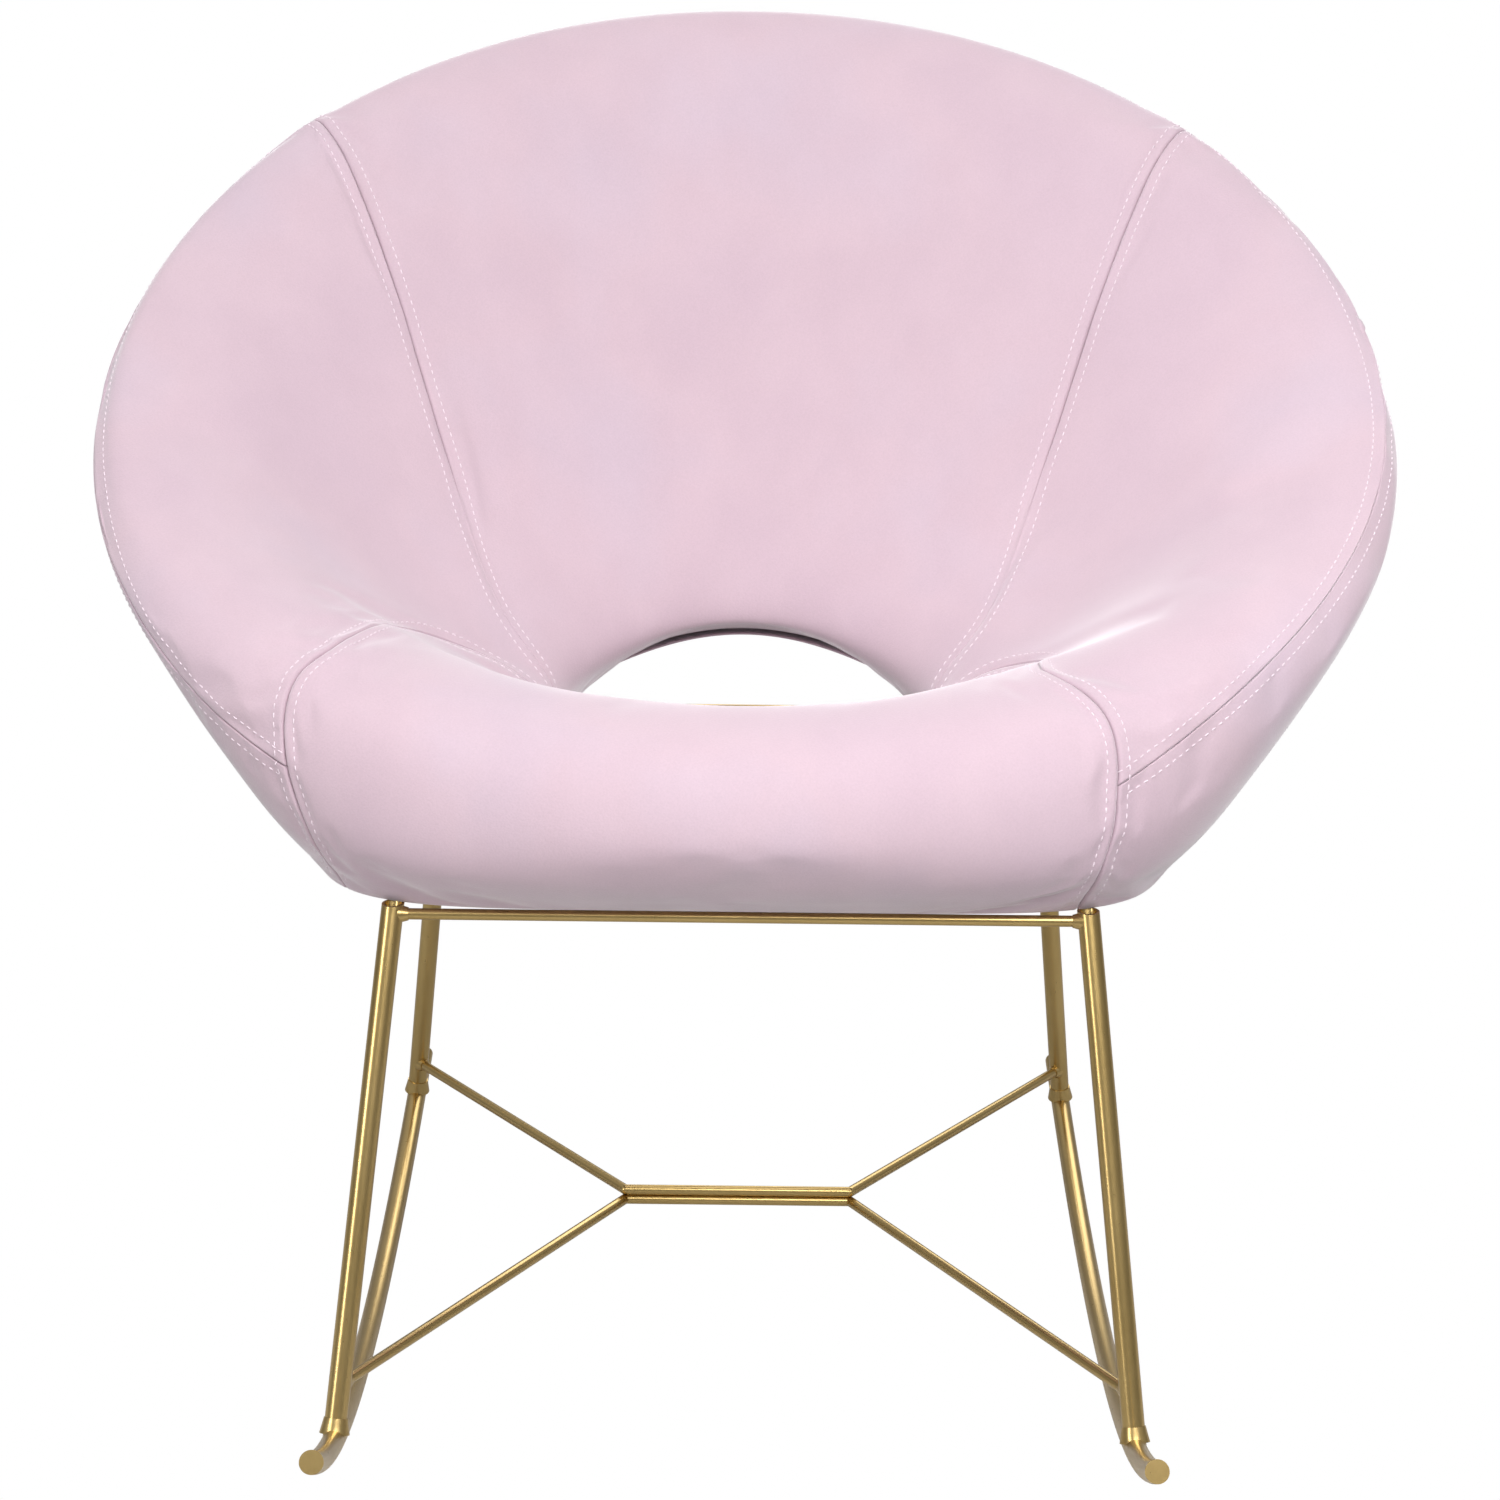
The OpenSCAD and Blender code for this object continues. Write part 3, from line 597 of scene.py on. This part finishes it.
for panel, move, (_, _, _, t_low, t_high, _, _, replaced) in zip(panels, moves, PANELS):
    panel["piece"] = finish_panel(panel, move, replaced, t_low is base_line, t_high is hole_line)


ARCH_SPAN = 50  # degrees that the arch's panel reaches either side of the back's middle
ARCH_GRID = (60, 16)
ARCH_SAG = 1.5
ARCH_LIFT = 0.4


def arch_panel():
    """Velvet that closes the underside of the back over the arch."""
    across = 180 + np.linspace(-ARCH_SPAN, ARCH_SPAN, ARCH_GRID[0])
    a, v = np.meshgrid(across, np.linspace(0, 1, ARCH_GRID[1]), indexing="ij")
    at_hole, at_base = np.full_like(a, LAST), np.zeros_like(a)
    foot = skin(a, at_hole) - SEAM_DEPTH * outward(a, at_hole)
    points = mix(foot, skin(a, at_base), v[..., None])
    points[..., 2] -= ARCH_SAG * np.sin(np.pi * v) - ARCH_LIFT
    faces = grid_faces(*a.shape)[:, ::-1]
    piece = mesh_object("rear_arch_panel", to_frame(points).reshape(-1, 3), faces, VELVET)
    make_cloth(piece, 1)
    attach(piece, "root")
    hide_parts("rear_arch_cover")


arch_panel()

# ---- Seam stitches ----
STITCH_GAP = 5.4     # from one stitch to the next
STITCH_LENGTH = 3.5
STITCH_R = 0.42
STITCH_DIP = 0.45    # how far a stitch's ends go down into the cloth
STITCH_LIFT = 0.12   # how far its middle's centre line lies above the cloth
ROW_OFFSET = 6.5     # from the seam to each row of stitches
RAY_START = 14       # height above the row at which the search for the cloth starts
RAY_LENGTH = 40
CAPSULE_SIDES = 6
# Rings of one stitch: place along its length, and share of its radius
CAPSULE_RINGS = [(-0.5, 0.25), (-0.36, 0.95), (0.0, 1.0), (0.36, 0.95), (0.5, 0.25)]
SEAM_SAMPLES = 500


def panel_tree():
    points, faces = [], []
    for panel in panels:
        mesh = panel["piece"].data
        co = np.zeros(len(mesh.vertices) * 3)
        mesh.vertices.foreach_get("co", co)
        base = len(points)
        points.extend(map(tuple, co.reshape(-1, 3)))
        faces.extend([tuple(base + i for i in p.vertices) for p in mesh.polygons])
    return BVHTree.FromPolygons(points, faces)


tree = panel_tree()


def seam_rows(a, t):
    """Two lines of points beside the seam that runs through azimuths a and t."""
    line, normal = skin(a, t), outward(a, t)
    way = np.gradient(line, axis=0)
    way /= np.linalg.norm(way, axis=-1, keepdims=True)
    across = np.cross(normal, way)
    return [(line + side * ROW_OFFSET * across, normal) for side in (-1, 1)]


def on_cloth(point, normal):
    """Where the line through point along normal first meets the covers, from outside."""
    start = Vector(to_frame(point + RAY_START * normal))
    hit, hit_normal, _, _ = tree.ray_cast(start, Vector(-normal), RAY_LENGTH * MM)
    return (np.array(hit), np.array(hit_normal)) if hit else None


def capsule(centre_point, way, up):
    """Points of one stitch, a short thread with rounded ends that dip into the cloth."""
    across = np.cross(way, up)
    ring = []
    for along, size in CAPSULE_RINGS:
        dip = STITCH_DIP * (2 * along) ** 2
        for s in range(CAPSULE_SIDES):
            angle = 2 * math.pi * s / CAPSULE_SIDES
            offset = STITCH_R * size * (math.cos(angle) * across + math.sin(angle) * up)
            ring.append(centre_point + MM * (along * STITCH_LENGTH * way + offset - dip * up))
    return ring


def capsule_faces(base):
    """Faces of one stitch, whose points are counted from base."""
    faces = []
    n = CAPSULE_SIDES
    rings = [[base + r * n + s for s in range(n)] for r in range(len(CAPSULE_RINGS))]
    for ring, after in zip(rings, rings[1:]):
        for s in range(n):
            faces.append([ring[s], ring[(s + 1) % n], after[(s + 1) % n], after[s]])
    faces.append(rings[0][::-1])
    faces.append(rings[-1])
    return faces


def along_run(places, run, values):
    """Values, which are given at distances run, read at places."""
    return np.stack([np.interp(places, run, values[:, k]) for k in range(3)], -1)


def stitch_seam(name, a, t):
    """Both rows of stitches along one seam, as one piece."""
    points, faces = [], []
    for line, normal in seam_rows(a, t):
        run = np.concatenate([[0], np.cumsum(np.linalg.norm(np.diff(line, axis=0), axis=-1))])
        places = np.arange(STITCH_GAP, run[-1] - STITCH_GAP, STITCH_GAP)
        at, ahead = along_run(places, run, line), along_run(places + 1, run, line)
        facing = along_run(places, run, normal)
        for p, q, n in zip(at, ahead, facing):
            n = n / np.linalg.norm(n)
            found, found_ahead = on_cloth(p, n), on_cloth(q, n)
            if found is None or found_ahead is None:
                continue
            way = found_ahead[0] - found[0]
            way /= np.linalg.norm(way)
            up = found[1] - way * (found[1] @ way)
            up /= np.linalg.norm(up)
            base = len(points)
            points += capsule(found[0] + STITCH_LIFT * MM * up, way, up)
            faces += capsule_faces(base)
    piece = mesh_object(name, points, faces, THREAD)
    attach(piece, "root")


t_full = np.linspace(0.12, LAST - 0.25, SEAM_SAMPLES)
for seam_name, edge in (
        ("front_left_stitches", front_left_edge),
        ("front_right_stitches", front_right_edge),
        ("back_left_stitches", back_left_edge),
        ("back_right_stitches", back_edge)):
    stitch_seam(seam_name, edge(t_full), t_full)
u_full = np.linspace(0, 1, SEAM_SAMPLES)
for seam_name, rim_line, edge0, edge1 in (
        ("left_rim_stitches", left_rim, back_left_edge, front_left_edge),
        ("right_rim_stitches", right_rim, front_right_edge, back_edge),
        ("back_rim_stitches", back_rim, back_edge, back_left_edge_round)):
    t_rim = rim_line(u_full)
    stitch_seam(seam_name, mix(edge0(t_rim), edge1(t_rim), u_full), t_rim)


# ---- Stage, light and camera, in metres and radians ----
FLOOR_SIZE = 30
SEAT_H = 0.45  # height that the lights are aimed at
CAMERA_X = 0.0002
CAMERA_AHEAD = 2.160  # in front of the seat frame's middle
CAMERA_H = 1.0554
LOOK_DOWN = 0.308
LOOK_RIGHT = 0.002
ROLL = 0.012
LENS, SENSOR = 89.1, 36  # millimetres


def white_to_camera(tree, shader, white_kind, output):
    """Shows plain white to the camera and the given shader to everything else."""
    path = tree.nodes.new("ShaderNodeLightPath")
    white = tree.nodes.new(white_kind)
    white.inputs["Color"].default_value = (1, 1, 1, 1)
    either = tree.nodes.new("ShaderNodeMixShader")
    tree.links.new(path.outputs["Is Camera Ray"], either.inputs["Fac"])
    tree.links.new(shader, either.inputs[1])
    tree.links.new(white.outputs[0], either.inputs[2])
    tree.links.new(either.outputs[0], output)


def stage_floor():
    bpy.ops.mesh.primitive_plane_add(size=FLOOR_SIZE, location=(0, 0, 0))
    floor = bpy.context.object
    floor.name = "floor"
    m = Nodes("floor")
    m.put(Base_Color=(0.5, 0.5, 0.5, 1), Roughness=0.9, Specular_IOR_Level=0.1)
    end = m.tree.nodes["Material Output"]
    white_to_camera(m.tree, m.shader.outputs[0], "ShaderNodeEmission", end.inputs["Surface"])
    floor.data.materials.append(m.material)


def area_light(name, place, target, size, power):
    data = bpy.data.lights.new(name, "AREA")
    data.shape = "RECTANGLE"
    data.size, data.size_y = size
    data.energy = power
    light = bpy.data.objects.new(name, data)
    light.location = place
    light.rotation_euler = (Vector(target) - Vector(place)).to_track_quat("-Z", "Y").to_euler()
    bpy.context.scene.collection.objects.link(light)


def studio():
    world = bpy.data.worlds.new("studio")
    world.use_nodes = True
    tree = world.node_tree
    sky = tree.nodes["Background"]
    coords = tree.nodes.new("ShaderNodeTexCoord")
    split = tree.nodes.new("ShaderNodeSeparateXYZ")
    height = tree.nodes.new("ShaderNodeValToRGB")
    for element, (place, level) in zip(height.color_ramp.elements, ((0.05, 0.22), (0.75, 0.65))):
        element.position = place
        element.color = (level, level, level, 1)
    tree.links.new(coords.outputs["Generated"], split.inputs[0])
    tree.links.new(split.outputs["Z"], height.inputs["Fac"])
    tree.links.new(height.outputs["Color"], sky.inputs["Color"])
    end = tree.nodes["World Output"]
    white_to_camera(tree, sky.outputs[0], "ShaderNodeBackground", end.inputs["Surface"])
    bpy.context.scene.world = world
    seat = (0, MID_Y, SEAT_H)
    area_light("key", (0.35, -1.05, 1.35), seat, (0.9, 0.8), 16)
    area_light("fill", (-2.2, -2.0, 1.4), seat, (0.5, 1.5), 24)
    area_light("top", (0, -0.4, 2.8), seat, (2.2, 2.0), 19)
    area_light("back", (0.6, 2.6, 1.8), seat, (1.8, 1.2), 18)
    bpy.context.scene.view_settings.view_transform = "Standard"


def camera():
    data = bpy.data.cameras.new("camera")
    data.lens, data.sensor_width = LENS, SENSOR
    data.clip_end = 100
    eye = bpy.data.objects.new("camera", data)
    place = Matrix.Translation((CAMERA_X, MID_Y - CAMERA_AHEAD, CAMERA_H))
    turn = Matrix.Rotation(-LOOK_RIGHT, 4, "Z") @ Matrix.Rotation(math.pi / 2 - LOOK_DOWN, 4, "X")
    eye.matrix_world = place @ turn @ Matrix.Rotation(ROLL, 4, "Z")
    bpy.context.scene.collection.objects.link(eye)
    bpy.context.scene.camera = eye


stage_floor()
studio()
camera()
